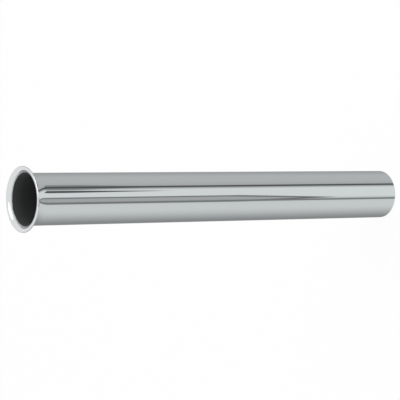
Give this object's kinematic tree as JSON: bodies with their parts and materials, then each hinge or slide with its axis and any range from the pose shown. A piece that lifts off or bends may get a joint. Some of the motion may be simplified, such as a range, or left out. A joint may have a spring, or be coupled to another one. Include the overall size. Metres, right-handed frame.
{
  "type": "flanged waste pipe",
  "caption": "Straight chromed tube with a plain cut end and a trumpet-flared lip with a narrow flat sealing ring.",
  "frame": {"origin": "centre of the cut end, which the pipe stands on", "axes": "+Z along the pipe's axis, from the cut end up to the lip"},
  "size_m": [0.0402, 0.0402, 0.282],
  "materials": {
    "chrome_plate": "bright polished chrome plate outside and on the flare, bare oxidised metal inside the bore"
  },
  "bodies": {
    "root": {"drain_tube": "chrome_plate"}
  },
  "joints": []
}
